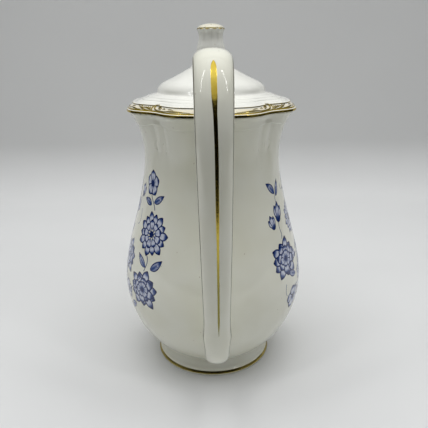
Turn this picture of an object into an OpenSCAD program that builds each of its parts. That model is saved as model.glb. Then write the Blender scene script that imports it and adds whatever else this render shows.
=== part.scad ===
// Porcelain coffee pot: baluster body, high loop handle, spout and a loose lobed lid.
// Origin on the pot's axis in the plane it stands on, +Z up, handle toward -Y, spout toward +Y.

/* [Body] */
// Thickness of the body's wall
wall = 3; // [2.4:0.1:3.6]
// Thickness of the body's floor
floor_t = 3.6; // [3:0.1:5]
// Radius of the waist where the body meets its foot
waist_r = 39.5; // [37:0.5:42]
// Radius at the fullest part of the belly
belly_r = 64.8; // [61:0.2:68]
// Height of the fullest part above the waist
belly_h = 53.6; // [50:0.2:58]
// Radius at the narrowest part of the neck
neck_r = 46.8; // [45.6:0.2:48.4]
// Height of the narrowest part above the fullest part
neck_h = 92.6; // [86:0.2:98]
// How far the mouth flares out past the neck
mouth_flare = 3.5; // [2.5:0.1:4.5]
// Height of the mouth above the narrowest part
mouth_h = 20.4; // [18:0.2:24]
// Angle at which the belly leaves the waist, from level
waist_angle = 37; // [32:1:42]

/* [Foot] */
// How far the foot ring stands out past the waist
foot_flare = 3.5; // [2:0.1:5]
// Width of the foot ring where it stands
foot_w = 7; // [5:0.5:9]
// Height of the foot ring
foot_h = 11.4; // [9:0.2:14]
// Height of the upright band at the foot's edge
foot_band_h = 4.4; // [3.6:0.2:5.4]
// Rounding under the foot's outer edge
foot_round = 1.2; // [0.6:0.2:1.6]

/* [Lobed rim] */
// How far the lid's edge stands out past the mouth at its four lobes
lobe_reach = 6.1; // [5.1:0.1:7.1]
// How far the edge draws in at the four cusps
cusp_depth = 4.2; // [3:0.2:5]
// How far each lobe swells on either side of its middle
lobe_swell = 1.2; // [0:0.1:1.6]
// Height of the collar on the pot's mouth
collar_h = 7.7; // [6:0.1:10]
// Step between the neck and the collar's lower edge
collar_step = 0.8; // [0.4:0.1:1.2]
// How far the lid's edge overhangs the collar
overhang = 1.4; // [1:0.1:1.6]

/* [Lid] */
// Gap between the collar and the resting lid
seat_gap = 0.3; // [0.25:0.05:0.5]
// Height of the upright roll at the lid's edge
roll_h = 2.4; // [2:0.1:3]
// Height of the sloping scroll band above the roll
band_h = 3.1; // [2.4:0.1:4]
// Width of the sloping scroll band
band_w = 4.2; // [3.2:0.1:4.4]
// Width of the flange from the scroll band at a cusp to the dome's foot
flange_w = 9.4; // [8:0.2:11.6]
// Rise of the flange from the scroll band to the dome
flange_rise = 4.7; // [3.6:0.1:6]
// Height of the dome above the flange
dome_h = 16; // [14:0.2:19]
// Thickness of the lid's wall
lid_wall = 3; // [2.4:0.1:3.6]
// Depth of the locating tongue below the lid's seat
tongue_h = 12; // [9:0.5:14]
// Thickness of the locating tongue
tongue_t = 3; // [2.4:0.1:3.6]
// Clearance between the tongue and the neck
tongue_clearance = 1; // [0.7:0.1:1.5]
// Radius of the steam vent in the dome
vent_r = 1.4; // [1:0.1:2]
// Distance of the steam vent's centre out from the knob's foot
vent_set = 9.7; // [7.7:0.1:12.7]

/* [Knob] */
// Radius of the knob's foot on the dome
knob_foot_r = 14.3; // [12.5:0.1:15]
// Radius of the knob's stem at its narrowest
stem_r = 7.8; // [7:0.1:8.4]
// Radius of the knob's flared top
knob_r = 8.6; // [8:0.1:10]
// Height of the knob from its foot to the cap's edge
knob_h = 24.8; // [22:0.2:28]
// Height of the domed cap
cap_h = 2.5; // [2:0.1:3.5]

/* [Handle] */
// Width of the strap at the top of the loop
strap_top_w = 21.2; // [18:0.2:22]
// Width of the strap at the grip
strap_grip_w = 19.4; // [17:0.2:21]
// Width of the strap at its narrowest, above the lower bend
strap_low_w = 15.6; // [14:0.2:17]
// Width of the strap where it joins the body
strap_joint_w = 17; // [15:0.2:19]
// Rise of the crown on the strap's outer side
crown_t = 6.5; // [5:0.1:7]
// Rise of the strap's inner side
back_t = 3.5; // [3:0.1:4.5]
// Clearance between the handle's riser and the lid's edge
handle_clearance = 2.4; // [1.5:0.1:3.5]
// Rise of the loop's centre line above the lid's seat
loop_rise = 32.1; // [28:0.2:36]
// Distance from the riser out to the top of the loop
loop_set = 7.5; // [6:0.5:10]
// Distance from the riser out to the grip
grip_span = 34; // [31:0.5:38]
// Depth of the grip's outermost point below the lid's seat
grip_drop = 6; // [2:0.5:12]
// Depth of the upper joint below the neck's narrowest part
root_drop = 5; // [3:0.5:8]
// Depth of the lower joint below the belly's fullest part
tail_drop = 15; // [12:0.5:18]
// Distance of the lower bend out from the belly
tail_reach = 13; // [11:0.5:16]
// Sag of the lower bend below the lower joint
tail_sag = 6.2; // [4:0.2:8]

/* [Spout] */
// Half width of the spout at the body
spout_base_w = 17; // [15:0.5:19]
// Half height of the spout at the body
spout_base_h = 25; // [22:0.5:27]
// Outer radius of the spout at its lip
lip_r = 8.4; // [7.6:0.1:9.4]
// Thickness of the spout's wall
spout_wall = 2.6; // [2.2:0.1:3]
// Height of the spout's joint above the belly's fullest part
spout_rise = 3; // [0:0.5:6]
// Distance of the lip out from the lid's edge
lip_reach = 56; // [50:1:62]
// Height of the lip above the lid's seat
lip_rise = 0; // [-4:0.5:3]
// Radius of the port from the body into the spout
port_r = 8; // [6:0.5:9]

/* [Gilding] */
// Thickness of a gilded layer
gilt_t = 0.35; // [0.3:0.05:0.5]
// Height of the gilded band on the foot
foot_gilt_h = 3; // [2:0.1:3]
// Width of the gilded stripe at the top of the handle
stripe_top_w = 3; // [2:0.1:3.6]
// Width of the gilded stripe at the bottom of the handle
stripe_low_w = 1.2; // [1:0.1:2]
// Length of the gilded band at the spout's lip
lip_gilt_h = 2.2; // [1.6:0.1:3]
// Width of the thin gilded line above the scroll band
line_w = 0.7; // [0.5:0.1:1]

/* [Hidden] */
$fn = 96;
gilt_gap = 0.02;        // between a gilded layer and a faceted surface
around = 96;            // points around a lobed ring
rows = 14;              // points along each curve of the body
strap_points = 20;      // points around the strap
spout_points = 24;      // points around the spout
spout_rows = 22;        // points along the spout
mouth_r = neck_r + mouth_flare;
foot_r = waist_r + foot_flare;
lobe_r = mouth_r + lobe_reach;
dome_r = lobe_r - cusp_depth - band_w - flange_w;
waist_z = foot_h;
belly_z = waist_z + belly_h;
neck_z = belly_z + neck_h;
mouth_z = neck_z + mouth_h;
collar_z = mouth_z + collar_h;
seat_z = collar_z + seat_gap;
roll_z = seat_z + roll_h;
band_z = roll_z + band_h;
flange_z = band_z + flange_rise;
knob_z = flange_z + dome_h;
cap_z = knob_z + knob_h;
bore_r = mouth_r - wall;
join_inset = 1.6;       // from the scroll band's inner edge at a cusp to the lid's round part
join_r = lobe_r - cusp_depth - band_w - join_inset;
embed = 9;              // how far the handle's and spout's ends reach in before the body cuts them
PORCELAIN = "#efece2";
GOLD = "#c9a43a";

// Curves
function bezier(a, b, c, d, n) = [for (i = [0:n]) let (t = i / n, s = 1 - t)
    s * s * s * a + 3 * s * s * t * b + 3 * s * t * t * c + t * t * t * d];
function tail(list) = [for (i = [1:len(list) - 1]) list[i]];
function reverse(list) = [for (i = [len(list) - 1:-1:0]) list[i]];
function flip(list) = [for (p = list) [p.y, p.x]];
function unit(v) = v / norm(v);
function tangent(line, i) = unit(line[min(i + 1, len(line) - 1)] - line[max(i - 1, 0)]);
function inward(line, t) = [for (i = [0:len(line) - 1]) let (d = tangent(line, i)) line[i] + t * [-d.y, d.x]];
function above(line, z) = [for (p = line) if (p.y > z) p];
function below(line, z) = [for (p = line) if (p.y < z) p];

// Outline of the body from its waist to its mouth, as [radius, height]
body_line = concat(
    bezier([waist_r, waist_z], [waist_r, waist_z] + 0.448 * belly_h * [cos(waist_angle), sin(waist_angle)],
        [belly_r, belly_z - 0.317 * belly_h], [belly_r, belly_z], rows),
    tail(bezier([belly_r, belly_z], [belly_r, belly_z + 0.281 * neck_h],
        [neck_r, neck_z - 0.356 * neck_h], [neck_r, neck_z], rows)),
    tail(bezier([neck_r, neck_z], [neck_r, neck_z + 0.441 * mouth_h],
        [mouth_r - 0.457 * mouth_flare, mouth_z - 0.294 * mouth_h], [mouth_r, mouth_z], rows)));
inner_line = inward(body_line, wall);
function outer_at(z) = lookup(z, flip(body_line));
function inner_at(z) = lookup(z, flip(inner_line));
floor_z = waist_z + floor_t;
tongue_r = min(inner_at(seat_z - tongue_h), bore_r) - tongue_clearance;

// Radius of the lobed edge at an angle, with broad lobes, each swelling twice, and tight cusps
function lobed(angle) = let (u = 0.5 - 0.5 * cos(4 * angle))
    lobe_r + lobe_swell * 4 * u * (1 - u) - cusp_depth * u ^ 4;
function at_angle(r, angle, z) = [r * cos(angle), r * sin(angle), z];

// Section of the scroll band above the roll, as [inset from the lobed edge, height]
band_line = [[0, roll_z], [band_w * 0.3, roll_z + band_h * 0.55], [band_w, band_z]];
function band_top(inset) = lookup(inset, band_line);

// Outline of the dome from the flange to the knob's foot
dome_w = dome_r - knob_foot_r;
function dome_at(in, up) = [dome_r - in * dome_w, flange_z + up * dome_h];
dome_line = concat(
    [dome_at(0, 0), dome_at(0.066, 0.038)],
    bezier(dome_at(0.095, 0.113), dome_at(0.14, 0.375), dome_at(0.288, 0.463), dome_at(0.525, 0.62), 8),
    tail(bezier(dome_at(0.525, 0.62), dome_at(0.747, 0.78), dome_at(0.877, 0.925), dome_at(1, 1), 8)));
dome_inner = inward(dome_line, lid_wall);

// Outline of the knob's domed cap
cap_line = bezier([knob_r, cap_z], [knob_r * 0.884, cap_z + 0.48 * cap_h], [knob_r / 2, cap_z + cap_h],
    [0, cap_z + cap_h], 6);

// The flange falls evenly from the dome's foot to the scroll band at the lobes
flange_slope = flange_rise / (lobe_r - band_w - dome_r);
join_z = flange_z - (join_r - dome_r) * flange_slope;

// Centre line of the handle in the plane of the pot, as [reach, height]; its curves' pulls are shares of their spans
riser_r = lobe_r + gilt_t + handle_clearance + crown_t;
root_z = neck_z - root_drop;
tail_z = belly_z - tail_drop;
root = [outer_at(root_z) - embed, root_z];
riser = [riser_r, seat_z];
loop_top = [riser_r + loop_set, seat_z + loop_rise];
grip = [riser_r + grip_span, seat_z - grip_drop];
bend = [outer_at(tail_z) + tail_reach, tail_z - tail_sag];
tail_end = [outer_at(tail_z) - embed, tail_z];
function pull(from, to, x, y) = from + [x * (to.x - from.x), y * (to.y - from.y)];
handle_line = concat(
    bezier(root, pull(root, riser, 0.535, 0.21), pull(riser, root, 0.015, 0.539), riser, 7),
    tail(bezier(riser, pull(riser, loop_top, 0.04, 0.53), pull(loop_top, riser, 0.8, 0), loop_top, 8)),
    tail(bezier(loop_top, pull(loop_top, grip, 0.604, 0), pull(grip, loop_top, 0, 0.577), grip, 9)),
    tail(bezier(grip, pull(grip, bend, 0, 0.514), pull(bend, grip, 0.574, 0), bend, 14)),
    tail(bezier(bend, pull(bend, tail_end, 0.364, 0), pull(tail_end, bend, 0.318, 0.161), tail_end, 5)));
top_row = 15;           // row of the handle's line at the top of the loop
grip_row = 24;          // row of the handle's line at the grip
narrow_row = 32;        // row of the handle's line at its narrowest
knuckle_row = 34;       // row of the handle's line at the knuckle above the lower bend
function strap_w(i) = lookup(i, [[0, strap_joint_w], [top_row, strap_top_w], [grip_row, strap_grip_w],
    [narrow_row, strap_low_w], [knuckle_row, strap_joint_w]]);
function strap_point(i, angle, lift) = let (d = tangent(handle_line, i), out = [-d.y, d.x],
    w = strap_w(i) / 2 * cos(angle), t = sin(angle) > 0 ? crown_t : back_t,
    p = handle_line[i] + (t * sin(angle) + lift) * out) [w, -p.x, p.y];

// Centre line of the spout and its outer half width and half height on the way
spout_z = belly_z + spout_rise;
spout_root = [outer_at(spout_z) - 2 * embed, spout_z - 8];
lip = [lobe_r + lip_reach, seat_z + lip_rise];
spout_line = bezier(spout_root, pull(spout_root, lip, 0.671, 0.048), pull(lip, spout_root, 0.457, 0.365), lip,
    spout_rows);
function spout_size(i) = let (t = i / spout_rows) [
    lip_r + (spout_base_w - lip_r) * (1 - t) ^ 1.2,
    lip_r + (spout_base_h - lip_r) * (1 - t) ^ 1.3];
function spout_point(i, angle, grow, slide = 0) = let (d = tangent(spout_line, i), s = spout_size(i),
    p = spout_line[i] + slide * d + (s.y + grow) * sin(angle) * [-d.y, d.x])
    [-(s.x + grow) * cos(angle), p.x, p.y];
function spout_ring(i, grow, slide = 0) = [for (k = [0:spout_points - 1])
    spout_point(i, k * 360 / spout_points, grow, slide)];

// Solid through a row of rings, closed by flat ends or back onto itself
module skin(rings, loop = false) {
    n = len(rings[0]);
    m = len(rings);
    sides = [for (i = [0:m - (loop ? 1 : 2)]) for (k = [0:n - 1]) let (
        a = i * n + k, b = i * n + (k + 1) % n, c = ((i + 1) % m) * n + (k + 1) % n, d = ((i + 1) % m) * n + k)
        each [[a, b, c], [a, c, d]]];
    ends = loop ? [] : [reverse([for (k = [0:n - 1]) k]), [for (k = [0:n - 1]) (m - 1) * n + k]];
    polyhedron([for (ring = rings) each reverse(ring)], concat(sides, ends));
}

// Lobed ring: section is a list of [inset from the lobed edge, height], hub one of [radius, height]
module lobed_ring(section, hub = []) {
    skin([for (k = [0:around - 1]) let (angle = k * 360 / around)
        concat([for (p = section) at_angle(lobed(angle) - p.x, angle, p.y)],
            [for (p = hub) at_angle(p.x, angle, p.y)])], loop = true);
}

// The body's outside as one solid, to cut what joins it
module body_blank() {
    rotate_extrude() polygon(concat([[0, waist_z]], body_line, [[0, mouth_z]]));
}

module pot_body() {
    color(PORCELAIN) difference() {
        rotate_extrude() polygon(concat([[0, waist_z]], body_line, [[bore_r, mouth_z]],
            reverse(above(below(inner_line, mouth_z - 0.5), floor_z + 0.2)),
            [[inner_at(floor_z), floor_z], [0, floor_z]]));
        translate([0, 0, spout_z]) rotate([-90, 0, 0]) cylinder(r = port_r, h = belly_r + 5);
    }
}

module foot_ring() {
    edge = [foot_r, foot_band_h];
    top = [waist_r, foot_h];
    color(PORCELAIN) rotate_extrude() polygon(concat(
        [[foot_r - foot_w, 0], [foot_r - foot_round, 0], [foot_r, foot_round], edge],
        bezier(pull(edge, top, 0.229, 0.1), pull(edge, top, 0.857, 0.171), pull(top, edge, -0.114, 0.371), top, 8),
        [[foot_r - foot_w, foot_h]]));
}

module rim_collar() {
    lower = mouth_r + collar_step;
    swell = 0.35;
    color(PORCELAIN) skin([for (k = [0:around - 1]) let (angle = k * 360 / around, top = lobed(angle) - overhang)
        [at_angle(bore_r, angle, collar_z), at_angle(bore_r, angle, mouth_z), at_angle(lower, angle, mouth_z),
            at_angle(lower + (top - lower) * swell, angle, mouth_z + collar_h * swell),
            at_angle(top, angle, collar_z)]], loop = true);
}

module handle() {
    color(PORCELAIN) difference() {
        skin([for (i = [0:len(handle_line) - 1])
            [for (k = [0:strap_points - 1]) strap_point(i, k * 360 / strap_points, 0)]]);
        body_blank();
    }
}

module spout() {
    color(PORCELAIN) difference() {
        skin([for (i = [0:spout_rows]) spout_ring(i, 0)]);
        skin([for (i = [0:spout_rows]) spout_ring(i, -spout_wall, i == spout_rows ? 1 : 0)]);
        body_blank();
    }
}

module lid() {
    color(PORCELAIN) difference() {
        rotate_extrude() polygon(concat([[join_r, seat_z], [join_r, join_z]], dome_line, [[0, knob_z],
            [0, knob_z - lid_wall]], reverse(below(dome_inner, knob_z - lid_wall)),
            [[tongue_r - tongue_t, flange_z - lid_wall], [tongue_r - tongue_t, seat_z]]));
        translate([0, knob_foot_r + vent_set, flange_z]) cylinder(r = vent_r, h = dome_h);
    }
}

module lid_rim() {
    hub_r = join_r / cos(180 / around);
    color(PORCELAIN) lobed_ring(concat([[0, seat_z]], band_line), [[hub_r, join_z], [hub_r, seat_z]]);
}

module lid_tongue() {
    color(PORCELAIN) translate([0, 0, seat_z - tongue_h]) rotate_extrude()
        translate([tongue_r - tongue_t, 0]) square([tongue_t, tongue_h]);
}

module knob() {
    foot = [knob_foot_r, knob_z];
    stem = [stem_r * 1.18, knob_z + knob_h * 0.55];
    color(PORCELAIN) rotate_extrude() polygon(concat([[0, knob_z]],
        bezier(foot, pull(foot, stem, 0.51, 0.22), pull(stem, foot, 0.118, 0.413), stem, 8),
        tail(bezier(stem, [stem_r, knob_z + knob_h * 0.7], [stem_r * 0.974, knob_z + knob_h * 0.85],
            cap_line[0], 6)),
        tail(cap_line)));
}

module foot_gilding() {
    color(GOLD) rotate_extrude() translate([foot_r, foot_round]) square([gilt_t, foot_gilt_h]);
}

module handle_gilding() {
    first = top_row + 2;
    last = knuckle_row;
    facet = cos(90 - 360 / strap_points);
    drop = crown_t * (1 - sin(90 - 360 / strap_points));
    color(GOLD) skin([for (i = [first:last]) let (
        w = strap_w(i) / 2 * facet,
        half = lookup(i, [[first, stripe_top_w], [last, stripe_low_w]]) / 2,
        crown = strap_point(i, 90, gilt_gap), side = strap_point(i, 90, gilt_gap - drop * half / w),
        over = strap_point(i, 90, gilt_t), edge = strap_point(i, 90, gilt_t - drop * half / w))
        [side + [half, 0, 0], edge + [half, 0, 0], over, edge - [half, 0, 0], side - [half, 0, 0], crown]]);
}

module spout_gilding() {
    share = lip_gilt_h / norm(lip - spout_line[spout_rows - 1]);
    color(GOLD) skin([for (p = [[gilt_gap, share], [gilt_t, share], [gilt_t, 0], [gilt_gap, 0]]) let (
        last = spout_ring(spout_rows, p.x), before = spout_ring(spout_rows - 1, p.x))
        [for (k = [0:spout_points - 1]) last[k] + p.y * (before[k] - last[k])]], loop = true);
}

module lid_edge_gilding() {
    color(GOLD) lobed_ring([[-gilt_gap, seat_z], [-gilt_gap, roll_z], [-gilt_t, roll_z], [-gilt_t, seat_z]]);
}

module lid_line_gilding() {
    inner = band_w;
    outer = band_w - line_w;
    color(GOLD) lobed_ring([[inner, band_top(inner) + gilt_gap], [outer, band_top(outer) + gilt_gap],
        [outer, band_top(outer) + gilt_t], [inner, band_top(inner) + gilt_t]]);
}

module knob_gilding() {
    color(GOLD) rotate_extrude() polygon(concat(cap_line, reverse([for (p = cap_line) p + [0, gilt_t]])));
}

pot_body();
foot_ring();
rim_collar();
handle();
spout();
lid();
lid_rim();
lid_tongue();
knob();
foot_gilding();
handle_gilding();
spout_gilding();
lid_edge_gilding();
lid_line_gilding();
knob_gilding();
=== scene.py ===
import math
import bpy
from mathutils import Matrix, Vector


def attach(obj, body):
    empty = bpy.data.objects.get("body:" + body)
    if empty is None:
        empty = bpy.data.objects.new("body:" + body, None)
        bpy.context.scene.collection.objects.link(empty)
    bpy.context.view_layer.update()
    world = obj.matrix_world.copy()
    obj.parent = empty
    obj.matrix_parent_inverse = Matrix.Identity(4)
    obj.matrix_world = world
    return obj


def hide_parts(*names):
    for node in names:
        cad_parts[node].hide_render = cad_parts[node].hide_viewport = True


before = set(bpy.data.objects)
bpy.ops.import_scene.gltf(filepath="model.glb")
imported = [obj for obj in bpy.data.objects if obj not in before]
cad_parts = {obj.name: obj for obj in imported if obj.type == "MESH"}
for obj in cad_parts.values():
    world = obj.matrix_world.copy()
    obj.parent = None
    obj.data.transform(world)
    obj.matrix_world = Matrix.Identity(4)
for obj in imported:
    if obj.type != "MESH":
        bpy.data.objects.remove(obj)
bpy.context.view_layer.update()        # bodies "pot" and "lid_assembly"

# ---- Camera ------------------------------------------------------------------------------------
# Held a third of a metre from the pot's axis on the side of the handle, a little to its left and just
# under the height of the knob, and looks down on the pot.
sensor, focal_px, frame_px = 36, 480, 428
camera_place = (0, -0.3343, 0.223)
round_pot, pan, look_down, roll_over = -1.1, -0.2, 18.79, -0.454
bpy.ops.object.camera_add()
camera = bpy.context.object
camera.name = "camera"
camera.data.sensor_width = sensor
camera.data.lens = focal_px / frame_px * sensor


def turned(degrees, axis):
    return Matrix.Rotation(math.radians(degrees), 4, axis)


camera.matrix_world = (turned(round_pot, "Z") @ Matrix.Translation(camera_place) @ turned(pan, "Z")
                       @ turned(90 - look_down, "X") @ turned(roll_over, "Z"))
bpy.context.scene.camera = camera


# ---- Pot casting: foot, baluster body, lobed neck and collar -----------------------------------
# Slip-cast porcelain in one piece with a 3 mm wall. Its outline is drawn as a chain and spun round the
# axis; the mould's four lobes and the pleats at their cusps are then pressed into the neck and collar.
mm = 0.001
wall = 3
waist = (39.5, 11.4)
belly = (64.8, 65)
neck = (46.8, 157.6)
mouth = (50.3, 178)
collar_top = 185.7
lobe_r = 56.4
cusp_depth, lobe_swell = 4.2, 1.2
foot_r = 43


def bezier(a, b, c, d, steps):
    out = []
    for i in range(steps + 1):
        t = i / steps
        s = 1 - t
        out.append(tuple(s ** 3 * p + 3 * s * s * t * q + 3 * s * t * t * u + t ** 3 * v
                         for p, q, u, v in zip(a, b, c, d)))
    return out


def pull(start, end, x, y):
    return (start[0] + x * (end[0] - start[0]), start[1] + y * (end[1] - start[1]))


def inward(line, gap):
    out = []
    for i, (r, z) in enumerate(line):
        a, b = line[max(i - 1, 0)], line[min(i + 1, len(line) - 1)]
        run = math.hypot(b[0] - a[0], b[1] - a[1])
        out.append((r - gap * (b[1] - a[1]) / run, z + gap * (b[0] - a[0]) / run))
    return out


def lookup(x, table):
    for (a, p), (b, q) in zip(table, table[1:]):
        if x <= b:
            return p + (q - p) * max(0, x - a) / (b - a)
    return table[-1][1]


def ease(x, low, high):
    t = min(max((x - low) / (high - low), 0), 1)
    return t * t * (3 - 2 * t)


def lobe_dip(angle):
    """How far the lobed edge lies inside lobe_r: 0 at a lobe's middle, cusp_depth at a cusp, and below 0
    between them, where the lobe swells."""
    u = 0.5 - 0.5 * math.cos(4 * angle)
    return cusp_depth * u ** 4 - lobe_swell * 4 * u * (1 - u)


def cusp_angle(angle):
    """Degrees from the nearest cusp."""
    return (math.degrees(angle) % 90) - 45


def spin_outline(name, outline, segments=192):
    """Draws [radius, height] points as a chain and spins it once round the axis."""
    bpy.ops.object.select_all(action="DESELECT")
    bpy.ops.mesh.primitive_plane_add(size=mm)
    piece = bpy.context.object
    piece.name = name
    bpy.ops.object.mode_set(mode="EDIT")
    bpy.ops.mesh.select_all(action="SELECT")
    bpy.ops.mesh.merge(type="CENTER")
    bpy.ops.transform.translate(value=(outline[0][0] * mm, 0, outline[0][1] * mm))
    for (r0, z0), (r1, z1) in zip(outline, outline[1:]):
        bpy.ops.mesh.extrude_region_move(
            TRANSFORM_OT_translate={"value": ((r1 - r0) * mm, 0, (z1 - z0) * mm)})
    bpy.ops.mesh.select_all(action="SELECT")
    bpy.ops.mesh.spin(steps=segments, angle=2 * math.pi, center=(0, 0, 0), axis=(0, 0, 1))
    close_shell()
    bpy.ops.object.mode_set(mode="OBJECT")
    bpy.ops.object.shade_smooth_by_angle(angle=math.radians(40))
    return piece


def close_shell():
    bpy.ops.mesh.select_all(action="SELECT")
    bpy.ops.mesh.remove_doubles(threshold=0.002 * mm)
    bpy.ops.mesh.select_all(action="SELECT")
    bpy.ops.mesh.normals_make_consistent(inside=False)


def press(piece, move):
    """Moves each point: move takes its radius, angle and height in mm and gives new radius and height."""
    for v in piece.data.vertices:
        r, angle = math.hypot(v.co.x, v.co.y) / mm, math.atan2(v.co.y, v.co.x)
        if r > 0.01:
            new_r, new_z = move(r, angle, v.co.z / mm)
            v.co = (new_r * mm * math.cos(angle), new_r * mm * math.sin(angle), new_z * mm)
    piece.data.update()


slope = math.radians(37)
body_line = bezier(waist, (waist[0] + 24 * math.cos(slope), waist[1] + 24 * math.sin(slope)),
                   (belly[0], belly[1] - 17), belly, 26)
body_line += bezier(belly, (belly[0], belly[1] + 26), (neck[0], neck[1] - 33), neck, 40)[1:]
body_line += bezier(neck, (neck[0], neck[1] + 9), (mouth[0] - 1.6, mouth[1] - 6), mouth, 14)[1:]
body_at = [(z, r) for r, z in body_line]
inner_line = inward(body_line, wall)
bore_r = mouth[0] - wall
outline = [(0, 11.6), (20, 11.5), (33, 11.4), (35, 11.2), (35.8, 10.4), (36, 9), (36, 1.2), (36.3, 0.4),
           (37.2, 0), (42, 0)]
foot_bead = [(42.5, 0.1), (42.85, 0.4), (foot_r, 0.9), (foot_r, 1.5), (42.92, 1.9), (42.68, 2.4),
             (42.4, 2.95), (42.1, 3.4), (41.6, 3.75)]
outline += foot_bead + bezier((41, 4), (39.8, 4.9), (38.9, 8.2), waist, 10)
outline += body_line[1:-1]
outline += [(50.4, 177.9), (50.8, 178), (51.15, 178.3), (51.3, 178.8), (51.5, 179.6), (51.9, 180.6),
            (52.6, 182), (53.5, 183.4), (54.3, 184.5), (54.8, 185.1), (54.9, 185.5), (54.6, collar_top),
            (51, collar_top), (48, collar_top), (47.5, 185.5), (bore_r, 185)]
outline += [p for p in reversed(inner_line) if 15.6 < p[1] < 177.4]
outline += [(38.6, 15.15), (37, 15), (25, 15), (12, 15), (0, 15)]
pot_casting = spin_outline("pot_casting", outline)


def press_neck(r, angle, z):
    if z < 140 or r < bore_r - 0.5 and z > 160 or r < lookup(z, body_at) - 0.6 * wall:
        return r, z
    dip = lobe_dip(angle)
    share = 0.42 * ease(z, 146, 177) ** 1.3 if z < 178.05 else 0.42 + 0.58 * ease(z, 178, 184.6)
    off = cusp_angle(angle)
    fade = ease(z, 150, 170) * (1 - ease(z, 178, 181))
    crease = -0.75 * math.exp(-((abs(off) - 5.2) / 1.5) ** 2) + 0.35 * math.exp(-(off / 3.2) ** 2)
    lift = 1.7 * (dip / cusp_depth) * ease(z, 168, 177.5) * (1 - ease(z, 178.6, 184))
    outer = 1 if z < 185.65 or r > 50 else ease(r, 47.6, 50)
    return r - outer * (share * dip - fade * crease), z + lift * outer


press(pot_casting, press_neck)


def maths(nodes, links, operation, *values):
    """Adds a Math node on numbers or sockets."""
    node = nodes.new("ShaderNodeMath")
    node.operation = operation
    for socket, value in zip(node.inputs, values):
        if isinstance(value, (int, float)):
            socket.default_value = value
        else:
            links.new(value, socket)
    return node.outputs[0]


def surface_group(name, scales, outputs):
    """Node group with a scale for each of its textures, and its input and output nodes."""
    group = bpy.data.node_groups.new(name, "ShaderNodeTree")
    for socket, value in scales:
        entry = group.interface.new_socket(name=socket, in_out="INPUT", socket_type="NodeSocketFloat")
        entry.default_value = value
    for socket in outputs:
        group.interface.new_socket(name=socket, in_out="OUTPUT", socket_type="NodeSocketFloat")
    return group, group.nodes.new("NodeGroupInput"), group.nodes.new("NodeGroupOutput")


def texture(group, come, kind, scale, detail=None):
    """Texture on Object coordinates, at the scale of one of the group's inputs."""
    made, where = group.nodes.new(kind), group.nodes.new("ShaderNodeTexCoord")
    group.links.new(where.outputs["Object"], made.inputs["Vector"])
    group.links.new(come.outputs[scale], made.inputs["Scale"])
    if detail is not None:
        made.inputs["Detail"].default_value = detail
    return made


def glaze_group():
    """Fired glaze: slow waves, fine orange peel, and rare specks from the kiln."""
    scales = (("Wave scale", 45), ("Peel scale", 900), ("Speck scale", 420))
    group, come, go = surface_group("fired_glaze", scales, ("Height", "Cloud", "Speck"))
    nodes, links = group.nodes, group.links
    wave = texture(group, come, "ShaderNodeTexNoise", "Wave scale", 1.5)
    peel = texture(group, come, "ShaderNodeTexNoise", "Peel scale", 2)
    speck = texture(group, come, "ShaderNodeTexVoronoi", "Speck scale")
    height = maths(nodes, links, "MULTIPLY_ADD", peel.outputs["Fac"], 0.035, wave.outputs["Fac"])
    links.new(height, go.inputs["Height"])
    links.new(wave.outputs["Fac"], go.inputs["Cloud"])
    tint = nodes.new("ShaderNodeSeparateColor")
    links.new(speck.outputs["Color"], tint.inputs[0])
    near = maths(nodes, links, "LESS_THAN", speck.outputs["Distance"], 0.16)
    few = maths(nodes, links, "GREATER_THAN", tint.outputs[0], 0.985)
    links.new(maths(nodes, links, "MULTIPLY", near, few), go.inputs["Speck"])
    return group


fired_glaze = glaze_group()


def new_material(name):
    material = bpy.data.materials.new(name)
    material.use_nodes = True
    tree = material.node_tree
    return material, tree.nodes, tree.links, tree.nodes["Principled BSDF"]


def mixed(nodes, links, factor, low, high):
    """A colour between low and high, by a socket."""
    mix = nodes.new("ShaderNodeMix")
    mix.data_type = "RGBA"
    links.new(factor, mix.inputs[0])
    for socket, value in ((mix.inputs[6], low), (mix.inputs[7], high)):
        if isinstance(value, tuple):
            socket.default_value = (*value, 1)
        else:
            links.new(value, socket)
    return mix.outputs[2]


def ranged(nodes, links, value, low, high):
    """Spreads a noise, which mostly lies between 0.3 and 0.7, from low to high."""
    scale = nodes.new("ShaderNodeMapRange")
    scale.inputs["From Min"].default_value = 0.3
    scale.inputs["From Max"].default_value = 0.7
    scale.inputs["To Min"].default_value = low
    scale.inputs["To Max"].default_value = high
    links.new(value, scale.inputs["Value"])
    return scale.outputs[0]


def bumped(nodes, links, height, strength, distance):
    """Normals of a bump over a height."""
    bump = nodes.new("ShaderNodeBump")
    bump.inputs["Strength"].default_value = strength
    bump.inputs["Distance"].default_value = distance
    links.new(height, bump.inputs["Height"])
    return bump.outputs[0]


def glaze_over(nodes, links, shader):
    """Gives a shader the gloss of the fired glaze, and hands back the glaze for its clouds and specks."""
    glaze = nodes.new("ShaderNodeGroup")
    glaze.node_tree = fired_glaze
    links.new(ranged(nodes, links, glaze.outputs["Cloud"], 0.06, 0.11), shader.inputs["Roughness"])
    shader.inputs["IOR"].default_value = 1.52
    return glaze


def glazed(name, low, high, speck):
    material, nodes, links, shader = new_material(name)
    glaze = glaze_over(nodes, links, shader)
    shade = ranged(nodes, links, glaze.outputs["Cloud"], 0, 1)
    colour = mixed(nodes, links, shade, low, high)
    colour = mixed(nodes, links, glaze.outputs["Speck"], colour, speck)
    links.new(colour, shader.inputs["Base Color"])
    links.new(bumped(nodes, links, glaze.outputs["Height"], 0.35, 0.0012), shader.inputs["Normal"])
    return material


porcelain = glazed("porcelain", (0.80, 0.795, 0.67), (0.84, 0.84, 0.735), (0.6, 0.56, 0.46))
pot_casting.data.materials.append(porcelain)
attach(pot_casting, "pot")
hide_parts("pot_body", "foot_ring", "rim_collar")


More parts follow.
